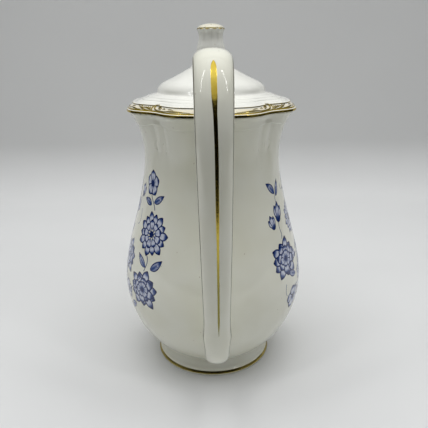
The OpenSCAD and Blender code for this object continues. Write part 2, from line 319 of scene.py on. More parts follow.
# ---- Handle: high loop strap -------------------------------------------------------------------
# A cast porcelain strap with a low crown outside and a flatter back, luted to the neck and the belly.
# One ring is carried along the loop by extruding, turning and narrowing it, and flares at both joints.
seat = 186
gold_t, lid_clearance = 0.35, 2.4
strap_out, strap_back, strap_power = 6.5, 3.5, 2.3
riser_r = lobe_r + gold_t + lid_clearance + strap_out
root_z, tail_z = neck[1] - 5, belly[1] - 15
root = (lookup(root_z, body_at) - 2.2, root_z)
riser = (riser_r, seat)
loop_top = (riser_r + 7.5, seat + 32.1)
grip = (riser_r + 34, seat - 6)
bend = (lookup(tail_z, body_at) + 13, tail_z - 6.2)
tail_end = (lookup(tail_z, body_at) - 2.4, tail_z)
handle_line = [root]
for start, end, leave, arrive, steps in ((root, riser, (0.535, 0.21), (0.015, 0.539), 16),
                                         (riser, loop_top, (0.04, 0.53), (0.8, 0), 18),
                                         (loop_top, grip, (0.604, 0), (0, 0.577), 22),
                                         (grip, bend, (0, 0.514), (0.574, 0), 36),
                                         (bend, tail_end, (0.364, 0), (0.318, 0.161), 14)):
    handle_line += bezier(start, pull(start, end, *leave), pull(end, start, *arrive), end, steps)[1:]
top_row, grip_row, knuckle_row, last_row = 34, 56, 86, len(handle_line) - 1
strap_widths = [(0, 20.6), (3, 17.6), (8, 17.2), (top_row, 21.2), (grip_row, 19.4), (76, 15.7), (78, 16.2),
                (79.6, 17.2), (81, 16.6), (83, 15.6), (85, 15.2), (knuckle_row, 15.4), (89, 15.4),
                (last_row - 5, 15.2), (last_row - 2, 16.6), (last_row, 19)]


def heading(line, i):
    a, b = line[max(i - 1, 0)], line[min(i + 1, len(line) - 1)]
    return math.atan2(b[1] - a[1], b[0] - a[0])


def start_ring(name, points, half_width, out, back, power):
    """Closed ring of points in the XY plane, its width along X, crowned by out on +Y and by back on -Y."""
    bpy.ops.object.select_all(action="DESELECT")
    bpy.ops.mesh.primitive_circle_add(vertices=points, radius=mm)
    piece = bpy.context.object
    piece.name = name
    for v in piece.data.vertices:
        x, y = v.co.x / mm, v.co.y / mm
        k = (abs(x) ** power + abs(y) ** power) ** (-1 / power)
        v.co = (x * k * half_width * mm, y * k * (out if y > 0 else back) * mm, 0)
    bpy.ops.object.mode_set(mode="EDIT")
    bpy.ops.mesh.select_all(action="SELECT")
    return piece


def carry_ring(line, widths):
    """Extrudes the selected ring along [reach, height] points in the plane x = 0, with reach toward -Y.
    The first end is closed by a face, and the last one by the face that is carried along."""
    first = heading(line, 0)
    bpy.ops.transform.rotate(value=first - math.pi / 2, orient_axis="X", center_override=(0, 0, 0))
    bpy.ops.transform.translate(value=(0, -line[0][0] * mm, line[0][1] * mm))
    bpy.ops.mesh.edge_face_add()
    for i in range(1, len(line)):
        (r0, z0), (r1, z1) = line[i - 1], line[i]
        turn = heading(line, i) - heading(line, i - 1)
        turn = (turn + math.pi) % (2 * math.pi) - math.pi
        grow = lookup(i, widths) / lookup(i - 1, widths)
        here = (0, -r1 * mm, z1 * mm)
        step = (0, -(r1 - r0) * mm, (z1 - z0) * mm)
        bpy.ops.mesh.extrude_region_move(TRANSFORM_OT_translate={"value": step})
        bpy.ops.transform.rotate(value=turn, orient_axis="X", center_override=here)
        bpy.ops.transform.resize(value=(grow, 1, 1), center_override=here)


handle = start_ring("handle_strap", 96, strap_widths[0][1] / 2, strap_out, strap_back, strap_power)
carry_ring(handle_line, strap_widths)
close_shell()
bpy.ops.object.mode_set(mode="OBJECT")


def lean(height):
    """The strap was luted on a little out of upright: how far it stands to +X at a height, in mm."""
    return lookup(height, [(tail_z, 0.6), (seat, -0.6), (seat + 40, -0.6)])


for v in handle.data.vertices:
    v.co.x += lean(v.co.z / mm) * mm
bpy.ops.object.shade_smooth_by_angle(angle=math.radians(50))
handle.data.materials.append(porcelain)
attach(handle, "pot")
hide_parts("handle")


# ---- Handle stripe: gilded line down the crown -------------------------------------------------
# Bright gold brushed on over the glaze, broad at the top of the loop and drawn out to a point above the
# knuckle. It is a thin skin that follows the strap's crown; lower down on the grip its gold is darkened as
# painted shade.
def gold_group():
    """Fired gold: fine brush grain and broader rubbed patches."""
    scales = (("Brush scale", 1400), ("Rub scale", 130))
    group, come, go = surface_group("fired_gold", scales, ("Height", "Rub", "Brush"))
    nodes, links = group.nodes, group.links
    brush = texture(group, come, "ShaderNodeTexNoise", "Brush scale", 3)
    rub = texture(group, come, "ShaderNodeTexNoise", "Rub scale", 4)
    links.new(maths(nodes, links, "ADD", brush.outputs["Fac"], rub.outputs["Fac"]), go.inputs["Height"])
    links.new(rub.outputs["Fac"], go.inputs["Rub"])
    links.new(brush.outputs["Fac"], go.inputs["Brush"])
    return group


fired_gold = gold_group()


def gilt(name, low, high, smooth, rough, metal=1):
    material, nodes, links, shader = new_material(name)
    gold = nodes.new("ShaderNodeGroup")
    gold.node_tree = fired_gold
    links.new(mixed(nodes, links, ranged(nodes, links, gold.outputs["Rub"], 0, 1), low, high),
              shader.inputs["Base Color"])
    links.new(ranged(nodes, links, gold.outputs["Brush"], smooth, rough), shader.inputs["Roughness"])
    shader.inputs["Metallic"].default_value = metal
    links.new(bumped(nodes, links, gold.outputs["Height"], 0.25, 0.00006), shader.inputs["Normal"])
    return material


bright_gold = ((0.64, 0.465, 0.06), (0.80, 0.61, 0.105), 0.13, 0.24)
gilding = gilt("gilding", *bright_gold)
skin_lift, skin_sink = 0.03, -0.05


def strap_surface(i, across, lift):
    """Point on the strap's crown at a row of its line, across mm from the middle and lift mm above it."""
    low = min(int(i), last_row - 1)
    part = i - low
    reach = handle_line[low][0] + part * (handle_line[low + 1][0] - handle_line[low][0])
    height = handle_line[low][1] + part * (handle_line[low + 1][1] - handle_line[low][1])
    a, b = heading(handle_line, low), heading(handle_line, low + 1)
    turn = a + part * ((b - a + math.pi) % (2 * math.pi) - math.pi)
    half = lookup(i, strap_widths) / 2
    rise = strap_out * (1 - abs(across / half) ** strap_power) ** (1 / strap_power) + lift
    height += rise * math.cos(turn)
    return (across + lean(height), -(reach - rise * math.sin(turn)), height)


def build_mesh(name, points, faces, merge=True):
    """New piece from points in mm and faces."""
    mesh = bpy.data.meshes.new(name)
    mesh.from_pydata([tuple(c * mm for c in p) for p in points], [], faces)
    piece = bpy.data.objects.new(name, mesh)
    bpy.context.collection.objects.link(piece)
    bpy.ops.object.select_all(action="DESELECT")
    bpy.context.view_layer.objects.active = piece
    piece.select_set(True)
    if merge:
        bpy.ops.object.mode_set(mode="EDIT")
        close_shell()
        bpy.ops.object.mode_set(mode="OBJECT")
    bpy.ops.object.shade_smooth_by_angle(angle=math.radians(40))
    return piece


def ribbon_skin(rows):
    """Points and faces of a closed skin whose rows each run across on top and back underneath."""
    n = len(rows[0])
    points = [p for row in rows for p in row]
    faces = [(i * n + k, i * n + (k + 1) % n, (i + 1) * n + (k + 1) % n, (i + 1) * n + k)
             for i in range(len(rows) - 1) for k in range(n)]
    faces += [tuple(range(n)), tuple((len(rows) - 1) * n + k for k in reversed(range(n)))]
    return points, faces


stripe_rows = []
stripe_first, stripe_last, stripe_steps = 41, 78.4, 140
for step in range(stripe_steps + 1):
    t = step / stripe_steps
    i = stripe_first + t * (stripe_last - stripe_first)
    half = lookup(t, [(0, 0.2), (0.015, 0.9), (0.04, 1.4), (0.1, 1.5), (0.2, 1.45), (0.27, 1), (0.56, 0.9),
                      (0.65, 0.65), (0.93, 0.55), (1, 0.06)])
    drift = 0.8 * ease(t, 0.12, 0.45)
    cross = [(-1, 0), (-0.85, 0.06), (-0.4, 0.08), (0, 0.085), (0.4, 0.08), (0.85, 0.06), (1, 0)]
    over = [strap_surface(i, drift + half * a, skin_lift + h) for a, h in cross]
    under = [strap_surface(i, drift + half * a, skin_sink) for a, h in reversed(cross[1:-1])]
    stripe_rows.append(over + under)
stripe = build_mesh("handle_stripe", *ribbon_skin(stripe_rows))


def shaded_below(material, low, high, dull):
    """Painted shade: darkens a gold by degrees, from high down to low in mm, on the lower run of the strap.
    """
    nodes, links = material.node_tree.nodes, material.node_tree.links
    where, part, span = (nodes.new("ShaderNodeTexCoord"), nodes.new("ShaderNodeSeparateXYZ"),
                         nodes.new("ShaderNodeMapRange"))
    for socket, value in (("From Min", low), ("From Max", high)):
        span.inputs[socket].default_value = value * mm
    links.new(where.outputs["Object"], part.inputs[0])
    links.new(part.outputs["Z"], span.inputs["Value"])
    colour = nodes["Principled BSDF"].inputs["Base Color"]
    links.new(mixed(nodes, links, span.outputs[0], dull, colour.links[0].from_socket), colour)
    return material


# Painted shade: the stripe's gold darkens between these heights in mm.
shade_low, shade_high = 100, 150
stripe_gilding = gilt("stripe_gilding", *bright_gold)
stripe.data.materials.append(shaded_below(stripe_gilding, shade_low, shade_high, (0.24, 0.215, 0.055)))
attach(stripe, "pot")
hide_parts("handle_gilding")


# ---- Handle edge lines: painted shade along both shoulders -------------------------------------
# A narrow dark line runs down each shoulder of the strap, over the glaze, and ends a little below the
# knuckle. It is painted shade where the strap's crown turns away from the light, drawn as a dim, partly
# metallic gold skin.
# Dim gold for the painted shade lines on the strap's shoulders.
shoulder_shade_gold = gilt("shoulder_shade_gold", (0.15, 0.135, 0.09), (0.23, 0.21, 0.15), 0.45, 0.6, metal=0.3)
edge_first, edge_last, edge_steps = 35, knuckle_row + 2, 120
shoulder, line_share = 0.955, 0.02
for name, side in (("edge_line_left", -1), ("edge_line_right", 1)):
    rows = []
    for step in range(edge_steps + 1):
        t = step / edge_steps
        i = edge_first + t * (edge_last - edge_first)
        half = lookup(i, strap_widths) / 2
        wide = line_share * lookup(t, [(0, 0.1), (0.08, 1), (0.9, 1), (1, 0.1)])
        over = [strap_surface(i, side * half * (shoulder + wide * a), skin_lift + h)
                for a, h in ((-1, 0), (-0.5, 0.04), (0, 0.05), (0.5, 0.04), (1, 0))]
        under = [strap_surface(i, side * half * (shoulder + wide * a), skin_sink) for a in (0.5, 0, -0.5)]
        rows.append(over + under)
    edge_line = build_mesh(name, *ribbon_skin(rows))
    edge_line.data.materials.append(shoulder_shade_gold)
    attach(edge_line, "pot")


# ---- Spout: curved pourer luted over the port --------------------------------------------------
# A slip-cast tube, broad and oval where it leaves the belly and round at the lip, with a soft fillet of
# slip round its foot. Outer and inner rings are laid along its line and joined into one closed skin.
spout_wall, fillet, lute_depth = 2.6, 3.2, 0.8
lip_r, root_half_w, root_half_h = 8.4, 17, 25
spout_rows, spout_sides = 60, 56
spout_z = belly[1] + 3
spout_root = (lookup(spout_z, body_at) - 18, spout_z - 8)
lip = (lobe_r + 56, seat)
spout_line = bezier(spout_root, pull(spout_root, lip, 0.671, 0.048), pull(lip, spout_root, 0.457, 0.365),
                    lip, spout_rows)


def spout_ring(i, grow):
    t = i / spout_rows
    wide = lip_r + (root_half_w - lip_r) * (1 - t) ** 1.2 + grow
    tall = lip_r + (root_half_h - lip_r) * (1 - t) ** 1.3 + grow
    turn = heading(spout_line, i)
    ring = []
    for k in range(spout_sides):
        a = 2 * math.pi * k / spout_sides
        across, rise = wide * math.cos(a), tall * math.sin(a)
        reach, height = spout_line[i]
        ring.append((across, reach - rise * math.sin(turn), height + rise * math.cos(turn)))
    return ring


def ring_skin(name, rings):
    """Closed skin through rings of points, with the last ring joined to the first."""
    n, m = len(rings[0]), len(rings)
    points = [p for ring in rings for p in ring]
    faces = [(i * n + k, i * n + (k + 1) % n, (i + 1) % m * n + (k + 1) % n, (i + 1) % m * n + k)
             for i in range(m) for k in range(n)]
    return build_mesh(name, points, faces)


def luted_on(r, angle, z):
    """Keeps the spout's foot in the belly's wall, so that the pot stays hollow behind it."""
    least_r = lookup(z, body_at) - lute_depth if z < mouth[1] else 0
    return max(r, least_r), z


outer_rings = [spout_ring(i, fillet * (1 - ease(i, 13, 26))) for i in range(spout_rows + 1)]
inner_rings = [spout_ring(i, -spout_wall) for i in range(spout_rows + 1)]
spout = ring_skin("spout_casting", outer_rings + inner_rings[::-1])
press(spout, luted_on)
spout.data.materials.append(porcelain)
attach(spout, "pot")
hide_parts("spout")


# ---- Gilded bands on the spout's lip and the foot ----------------------------------------------
# Gold brushed on over the glaze and fired once more. The foot's band is laid on while the pot turns on a
# wheel and the lip's by hand, and each is even, with soft edges.
def gilt_over(name, edge, thick, segments=240):
    """Closed skin over a stretch of outline, thick mm proud and sunk a little into the glaze."""
    skin = inward(edge, -thick) + inward(edge, -skin_sink)[::-1]
    return spin_outline(name, [edge[0]] + skin + [edge[0]], segments)


lip_band, row_gap, lip_steps = 2.2, 2.42, 9
lip_rows = []
for back, lift in ((lip_steps, 0.02), (8.6, 0.2), (8, 0.33), (4, 0.34), (1, 0.33), (0.2, 0.25), (0, 0.02),
                   (0, skin_sink), (lip_steps, skin_sink)):
    last, before = spout_ring(spout_rows, lift), spout_ring(spout_rows - 1, lift)
    share = back / lip_steps * lip_band / row_gap
    lip_rows.append([tuple(p + share * (q - p) for p, q in zip(a, b)) for a, b in zip(last, before)])
lip_gilt = ring_skin("lip_gilt", lip_rows)
foot_gilt = gilt_over("foot_gilt", foot_bead[3:8], 0.1)
dull_gold = gilt("dull_gilding", (0.30, 0.235, 0.06), (0.5, 0.39, 0.1), 0.16, 0.28)
for piece, node, gold in ((lip_gilt, "spout_gilding", gilding), (foot_gilt, "foot_gilding", dull_gold)):
    piece.data.materials.append(gold)
    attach(piece, "pot")
    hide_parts(node)


# ---- Lid casting: lobed flange, dome and locating tongue ---------------------------------------
# One slip-cast porcelain piece, hollow under the dome, with a tongue that drops into the neck, a rolled and
# lobed edge, a hollowed band for the gilded scrolls and fine steps on the flange.
flange_z, knob_z = 196.2, 212.2
dome_r, knob_foot_r, tongue_r = 38.6, 14.3, 45.1
lid_wall = 3


def dome_at(inset, up):
    return (dome_r - inset * (dome_r - knob_foot_r), flange_z + up * (knob_z - flange_z))


dome_line = [dome_at(0, 0), dome_at(0.03, 0.012), dome_at(0.066, 0.038), dome_at(0.082, 0.07)]
dome_mid = dome_at(0.525, 0.62)
dome_line += bezier(dome_at(0.095, 0.113), dome_at(0.14, 0.375), dome_at(0.288, 0.463), dome_mid, 16)
dome_line += bezier(dome_mid, dome_at(0.747, 0.78), dome_at(0.877, 0.925), dome_at(1, 1), 16)[1:]
crown_z = knob_z - lid_wall
dome_inner = [p for p in inward(dome_line, lid_wall) if p[1] < crown_z]
lid_outline = [(0, crown_z), (8, crown_z)] + dome_inner[::-1]
lid_outline += [(40.5, 193.3), (41.8, 193.1), (42.1, 192.4), (42.1, 175), (42.4, 174.3), (43.1, 174),
                (44.2, 174), (44.9, 174.3), (tongue_r, 175), (tongue_r, 185.2), (45.5, 185.9), (46.2, seat),
                (50, seat), (54.8, seat)]
roll = [(56.1, 186.0), (56.34, 186.06), (56.4, 186.2), (56.42, 186.6), (56.42, 187), (56.36, 187.35),
        (56.24, 187.6), (56, 187.8), (55.65, 187.95), (55.35, 188.02), (55.2, 188.1), (55.12, 188.25),
        (55.08, 188.5), (54.95, 188.75)]
lid_outline += roll
lid_outline += [(54.7, 188.95), (54.3, 189.4), (53.8, 189.85), (53.2, 190.35), (52.75, 190.75), (52.55, 191),
                (52.5, 191.2), (52.48, 191.5), (52.4, 191.65), (52.2, 191.72), (51.8, 191.7)]
flange_line = [(51.4, 191.75), (50.2, 192.05), (49.7, 192.15), (49.4, 192.5), (49.1, 192.6), (46.8, 193.35),
               (46.4, 193.4), (46.1, 193.8), (45.8, 193.9), (43.2, 194.75), (42.8, 194.8), (42.5, 195.15),
               (42.2, 195.25), (40.2, 195.85), (39.4, 196.05)]
lid_outline += flange_line + dome_line + [(9, knob_z + 0.02), (0, knob_z + 0.02)]
lid_casting = spin_outline("lid_casting", lid_outline, 240)


def press_lid(r, angle, z):
    if z > 185.5 and r > 44:
        above = z > 190
        share = ease(r, 39.5, 51) if above or r < 52 and z > 188 else ease(r, 45.3, 54)
        return r - share * lobe_dip(angle), z
    if z > 191 and r > dome_r:
        return r - ease(r, 39.5, 51) * lobe_dip(angle), z
    panel = ease(z, 197, 200) * (1 - ease(z, 207, 211)) * (1 if z > 194 and r > 15 else 0)
    outer = z > lookup(r, [(p[0], p[1] - 1.2) for p in reversed(dome_line)])
    return (r + (0.28 * panel * math.cos(8 * angle) if outer else 0)), z


press(lid_casting, press_lid)
# Painted light: the lid's glaze is a whiter copy of the pot's porcelain, so that lid and knob read brighter.
lit_lid_porcelain = glazed("lit_lid_porcelain", (0.80, 0.80, 0.73), (0.84, 0.84, 0.78), (0.66, 0.62, 0.53))
lid_casting.data.materials.append(lit_lid_porcelain)
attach(lid_casting, "lid_assembly")
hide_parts("lid", "lid_rim", "lid_tongue")


# ---- Lid gilding: rolled edge and thin line ----------------------------------------------------
# Gold brushed round the roll's outer face, in the groove over it and as a hair line along the top of the
# scroll band, which has a cream tint, partly a cream wash and partly painted reflection of the gold round
# it. Each is a thin closed skin on the glaze.
edge_gilt = gilt_over("edge_gilt", roll[2:7], 0.1)
groove_gilt = gilt_over("groove_gilt", roll[8:], 0.08)
line_gilt = gilt_over("line_gilt", [(52.53, 191.2), (52.51, 191.35), (52.49, 191.5), (52.44, 191.62)], 0.06)
hollow = [(54.75, 188.9), (54.3, 189.4), (53.8, 189.85), (53.2, 190.35), (52.8, 190.7)]
# Cream tint on the scroll band: partly a real cream wash, partly painted reflection of the surrounding gold.
band_tint = gilt_over("band_tint", hollow, 0.03)
cream = glazed("cream_wash_and_reflection", (0.80, 0.74, 0.56), (0.86, 0.81, 0.67), (0.66, 0.62, 0.53))
for piece, paint, name in ((edge_gilt, gilding, "gilding"), (groove_gilt, gilding, "gilding"),
                           (line_gilt, gilding, "gilding"), (band_tint, cream, "porcelain")):
    press(piece, lambda r, angle, z: (r - lobe_dip(angle), z))
    piece.data.materials.append(paint)
    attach(piece, "lid_assembly")
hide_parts("lid_edge_gilding")
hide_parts("lid_line_gilding")


# ---- Scroll relief on the band -----------------------------------------------------------------
# Moulded shells, scrolls and leaves at the four cusps, picked out in gold. They are drawn as tapering lines
# on the band and rounded, then made solid.
relief_lift = 0.1


def band_point(degrees, up):
    """Point on the scroll band: degrees round the lid, up from 0 at the roll to 1 at the thin line."""
    angle = math.radians(degrees)
    inset = lookup(up, [(0, 1.35), (1, 3.9), (1.4, 4.7)])
    z = lookup(up, [(0, 188.6), (0.4, 189.7), (1, 191.05), (1.4, 191.9)])
    r = lobe_r - lobe_dip(angle) - inset + 0.55 * relief_lift
    return (r * math.cos(angle), r * math.sin(angle), z + 0.83 * relief_lift)


def relief(name, strokes, place):
    """Strokes of (points, half widths) laid on a surface by place, as one mesh of rounded, tapering lines."""
    curve = bpy.data.curves.new(name, "CURVE")
    curve.dimensions = "3D"
    curve.bevel_depth = mm
    curve.bevel_resolution = 3
    curve.use_fill_caps = True
    for points, widths in strokes:
        spline = curve.splines.new("POLY")
        spline.points.add(len(points) - 1)
        for k, (point, width) in enumerate(zip(points, widths)):
            spline.points[k].co = (*(c * mm for c in place(*point)), 1)
            spline.points[k].radius = width
    piece = bpy.data.objects.new(name, curve)
    bpy.context.collection.objects.link(piece)
    bpy.ops.object.select_all(action="DESELECT")
    bpy.context.view_layer.objects.active = piece
    piece.select_set(True)
    bpy.ops.object.convert(target="MESH")
    piece = bpy.context.object
    bpy.ops.object.shade_smooth_by_angle(angle=math.radians(60))
    return piece


def stroke(a, b, c, d, w0, w1, w2, steps=12):
    """Tapering curve: width w0 at the start, w1 in the middle, w2 at the end."""
    points = bezier(a, b, c, d, steps)
    widths = [w0 + (w1 - w0) * ease(t, 0, 0.5) if t < 0.5 else w1 + (w2 - w1) * ease(t, 0.5, 1)
              for t in (k / steps for k in range(steps + 1))]
    return points, widths


def cusp_motif(at, side):
    """C-scroll, shell fan and leaves at a cusp, in degrees and shares of the band. The fan opens to the
    given side."""
    strokes = []

    def add(points, w0, w1, w2, steps=12):
        strokes.append(stroke(*[(-side * x, y) for x, y in points], w0, w1, w2, steps))

    add([(2.6, 1.36), (-1.6, 1.36), (-2.2, 0.35), (2.2, 0.16)], 0.3, 0.54, 0.42, 16)
    add([(2.2, 0.16), (5, 0.02), (9, 0.05), (13, 0.16)], 0.4, 0.45, 0.2)
    add([(0.2, 1.4), (-3.4, 1.2), (-4, 0.4), (-1.6, 0.02)], 0.16, 0.3, 0.2)
    add([(6.6, 0.9), (3.9, 1), (3.5, 0.45), (6.2, 0.42)], 0.42, 0.58, 0.26)
    add([(6.2, 0.42), (7.6, 0.45), (7.4, 0.78), (6.3, 0.72)], 0.22, 0.28, 0.3, 8)
    add([(9.6, 0.5), (10.4, 0.72), (11.4, 0.74), (12.2, 0.55)], 0.14, 0.36, 0.14, 7)
    add([(12, 0.12), (17, 0.34), (23, 0.3), (31, 0.1)], 0.2, 0.48, 0.12, 18)
    add([(15, 0.62), (16.5, 0.72), (18, 0.68), (19.5, 0.52)], 0.12, 0.26, 0.1, 8)
    for k in range(6):
        spread = 2.4 + 1.5 * k
        tip = (-1.6 - spread * 1.06, 1.04 - 0.1 * k)
        add([(-1.9 - 0.5 * k, 0.08), (-2.6 - 0.75 * k, 0.36), (-1.2 - spread, 0.7), tip], 0.1, 0.24, 0.16, 8)
    add([(-5.6, 0.04), (-10.5, 0.1), (-12.4, 0.5), (-16.4, 1.02)], 0.24, 0.56, 0.18, 14)
    add([(-16.4, 1.02), (-14.2, 1.12), (-11.8, 1), (-12.6, 0.72)], 0.18, 0.34, 0.3, 9)
    add([(-12, 0.12), (-17, 0.02), (-20, 0.5), (-25, 0.3)], 0.2, 0.46, 0.16, 14)
    add([(-19, 0.66), (-20.2, 0.82), (-21.8, 0.8), (-23, 0.62)], 0.12, 0.28, 0.12, 8)
    add([(-24, 0.16), (-30, 0.36), (-36, 0.3), (-43, 0.12)], 0.14, 0.36, 0.12, 18)
    return [([(at + x, y) for x, y in points], widths) for points, widths in strokes]


scrolls = []
for at, side in ((45, -1), (135, 1), (225, -1), (315, 1)):
    scrolls += cusp_motif(at, side)
scroll_relief = relief("scroll_relief", scrolls, band_point)
scroll_relief.data.materials.append(dull_gold)
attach(scroll_relief, "lid_assembly")


# ---- Knob: fluted finial with a gilded cap -----------------------------------------------------
# Pressed porcelain, luted to the crown of the dome. It is fluted in twelve, waisted, and flares to a
# scalloped top that carries a low gilded dome.
knob_r, knob_waist_r, knob_flare_out = 8.6, 7.8, 0.6
cap_z, cap_top = 237, 239.5
knob_h = cap_z - knob_z
knob_foot, knob_stem = (knob_foot_r, knob_z), (knob_waist_r * 1.18, knob_z + knob_h * 0.55)
cap_line = bezier((knob_r, cap_z), (knob_r * 0.884, cap_z + 1.2), (knob_r / 2, cap_top), (0, cap_top), 12)
knob_outline = [(0, knob_z - 0.4), (9, knob_z - 0.4), (knob_foot_r - 0.6, knob_z - 0.35)]
knob_outline += bezier(knob_foot, pull(knob_foot, knob_stem, 0.51, 0.22),
                       pull(knob_stem, knob_foot, 0.118, 0.413), knob_stem, 16)
knob_flare = (knob_r + knob_flare_out, cap_z - 1.2)
knob_shoulder = [(knob_r + knob_flare_out, cap_z - 0.85), (knob_r + 0.45, cap_z - 0.5),
                 (knob_r + 0.2, cap_z - 0.15)]
knob_outline += bezier(knob_stem, (knob_waist_r, knob_z + knob_h * 0.7),
                       (knob_waist_r - 0.3, knob_z + knob_h * 0.86), knob_flare, 14)[1:]
knob_outline += knob_shoulder + [(knob_r, cap_z)] + cap_line[1:]
knob = spin_outline("knob_casting", knob_outline, 144)


def between_flutes(angle):
    """0 on the crest of a flute and 1 in the groove beside it."""
    return 1 - abs(math.sin(6 * angle))


def flute(r, angle, z):
    rise = ease(z, knob_z + 3, knob_z + 12)
    deep = (0.35 + 0.35 * ease(z, cap_z - 11, cap_z - 1)) * rise * min(1, r / 7)
    if z >= cap_z + 0.1:
        deep = 0.7 * ease(r, 7.4, knob_r)
    return r - deep * between_flutes(angle), z


press(knob, flute)
knob.data.materials.append(lit_lid_porcelain)
cap_outline = [(knob_r, cap_z)] + [(r + 0.1, z + 0.2) for r, z in cap_line[:-1]] + [(0, cap_top + 0.2)]
cap_outline += [(r, z) for r, z in reversed(cap_line)]
cap_gilt = spin_outline("cap_gilt", cap_outline, 144)


def scallop(r, angle, z):
    r, z = flute(r, angle, z)
    return r, z + (0.6 * between_flutes(angle) if z < cap_z - 0.2 else 0)


press(cap_gilt, scallop)
# Painted sheen: the cap's gold is paled toward white for the bright ceiling it mirrors, and is only partly
# metallic so that the softbox, hidden from reflections, still lights it.
cap_gold_painted_sheen = gilt("cap_gilding_painted_sheen", (0.86, 0.82, 0.64), (0.93, 0.9, 0.76), 0.25, 0.38, metal=0.35)
cap_gilt.data.materials.append(cap_gold_painted_sheen)


def break_up(r, angle, z):
    """Scallops the edge ring and sinks it into the glaze between the flutes, where its gold is rubbed."""
    r, z = scallop(r, angle, z)
    return r - 0.32 * between_flutes(angle), z


cap_edge = gilt_over("cap_edge", knob_shoulder, 0.12, 288)
press(cap_edge, break_up)
cap_edge.data.materials.append(dull_gold)
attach(cap_edge, "lid_assembly")
for piece, node, slot_name in ((knob, "knob", "knob_porcelain"), (cap_gilt, "knob_gilding", "gilding")):
    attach(piece, "lid_assembly")
    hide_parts(node)


# ---- Neck relief: moulded sprays under the cusps -----------------------------------------------
# Low scrolls pressed in the mould at each cusp of the neck, and glazed over in the pot's own white. They
# are round strokes sunk in the wall, so that only their crowns stand proud.
sunk = 0.42


def neck_point(degrees, z):
    angle = math.radians(degrees)
    r = press_neck(lookup(z, body_at), angle, z)[0] - sunk
    return (r * math.cos(angle), r * math.sin(angle), z)


def neck_motif(at):
    strokes = []
    for side in (-1, 1):
        for points, *widths in (
                ([(0.5, 163), (4, 160.5), (8.5, 163.5), (7.6, 168)], 0.3, 0.62, 0.4, 12),
                ([(7.6, 168), (6.8, 170.6), (4.2, 169.8), (4.9, 167.4)], 0.4, 0.5, 0.42, 9),
                ([(8.4, 163.6), (11, 162.4), (13.6, 164.4), (14.6, 168.8)], 0.3, 0.5, 0.2, 12),
                ([(1.2, 164.4), (2.6, 166.4), (2.6, 168.4), (1.4, 170.6)], 0.25, 0.5, 0.2, 9)):
            strokes.append(stroke(*[(at + side * x, y) for x, y in points], *widths))
    strokes.append(stroke((at, 162.2), (at, 165), (at, 168), (at, 172), 0.35, 0.6, 0.2, 9))
    return strokes


sprays = []
for at in (45, 135, 225, 315):
    sprays += neck_motif(at)
neck_relief = relief("neck_relief", sprays, neck_point)
neck_relief.data.materials.append(porcelain)
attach(neck_relief, "pot")


# ---- Blue sprays on both flanks ----------------------------------------------------------------
# Printed under the glaze: blooms, leaves and tendrils in washes of blue with darker outlines. Each petal is a
# thin skin on the body, and carries its depth of colour as an attribute.
print_points, print_faces, print_ink = [], [], []
print_z, print_sink, petal_rows = 98, -0.06, 10
arc = [0]
for (r0, z0), (r1, z1) in zip(body_line, body_line[1:]):
    arc.append(arc[-1] + math.hypot(r1 - r0, z1 - z0))
arc_to_z = [(s, p[1]) for s, p in zip(arc, body_line)]
z_to_arc = [(p[1], s) for s, p in zip(arc, body_line)]


def body_point(centre, x, y, lift):
    """Point x mm round and y mm up the body's surface from (degrees, height)."""
    s = lookup(centre[1], z_to_arc) + y
    z = lookup(s, arc_to_z)
    r = lookup(z, body_at)
    angle = math.radians(centre[0]) + x / lookup(centre[1], body_at)
    dr = lookup(z + 0.5, body_at) - lookup(z - 0.5, body_at)
    run = math.hypot(dr, 1)
    r, z = r + lift / run, z - lift * dr / run
    r, z = press_neck(r, angle, z) if z > 140 else (r, z)
    return (r * math.cos(angle), r * math.sin(angle), z)


def add_skin(grid_top, grid_under, ink):
    """Adds one closed skin from a grid of points on top and the same grid underneath."""
    m, n = len(grid_top), len(grid_top[0])
    first = len(print_points)
    for row in grid_top + grid_under:
        print_points.extend(row)
    for row in ink * 2:
        print_ink.extend(row)
    low = first + m * n
    for i in range(m - 1):
        for k in range(n - 1):
            a, b, c, d = i * n + k, i * n + k + 1, (i + 1) * n + k + 1, (i + 1) * n + k
            print_faces.append((first + d, first + c, first + b, first + a))
            print_faces.append((low + a, low + b, low + c, low + d))
    rim = list(range(n)) + [i * n + n - 1 for i in range(1, m)]
    rim += [(m - 1) * n + k for k in range(n - 2, -1, -1)] + [i * n for i in range(m - 2, 0, -1)]
    for a, b in zip(rim, rim[1:] + rim[:1]):
        print_faces.append((first + a, first + b, low + b, low + a))


def print_lift(layer):
    """Washes that overlap lie a hair over each other."""
    return skin_lift + 0.012 * layer


def away(at, turn, along, across=0.0):
    """Point along and across mm from (x, y), in a direction in degrees."""
    cos, sin = math.cos(math.radians(turn)), math.sin(math.radians(turn))
    return (at[0] + along * cos - across * sin, at[1] + along * sin + across * cos)


def petal(centre, start, turn, length, width, layer, bend, base, tip, shape):
    """One painted petal or leaf: start is (x, y) mm from centre, turn its direction in degrees, and base and
    tip its depth of colour, from 0 for dark to 1 for pale."""
    top, under, ink = [], [], []
    for i in range(petal_rows + 1):
        t = i / petal_rows
        bulge = math.sin(math.pi * min(max(t, 0.02), 0.985) ** (shape * 1.3))
        half = width / 2 * max(bulge, 0.02) ** 0.8
        row_top, row_under, row_ink = [], [], []
        for c in (-1, -0.82, -0.6, 0, 0.6, 0.82, 1):
            x, y = away(start, turn, length * t, bend * length * t * t + half * c)
            row_top.append(body_point(centre, x, y, print_lift(layer)))
            row_under.append(body_point(centre, x, y, print_sink))
            shade = lookup(t, [(0, base), (0.4, tip), (0.64, tip), (0.88, 0)])
            if abs(c) > 0.8 or t < 0.05 or t > 0.95:
                shade = 0
            elif c == 0 and t < 0.6:
                shade -= 0.3
            row_ink.append(min(max(shade, 0), 1))
        top.append(row_top)
        under.append(row_under)
        ink.append(row_ink)
    add_skin(top, under, ink)


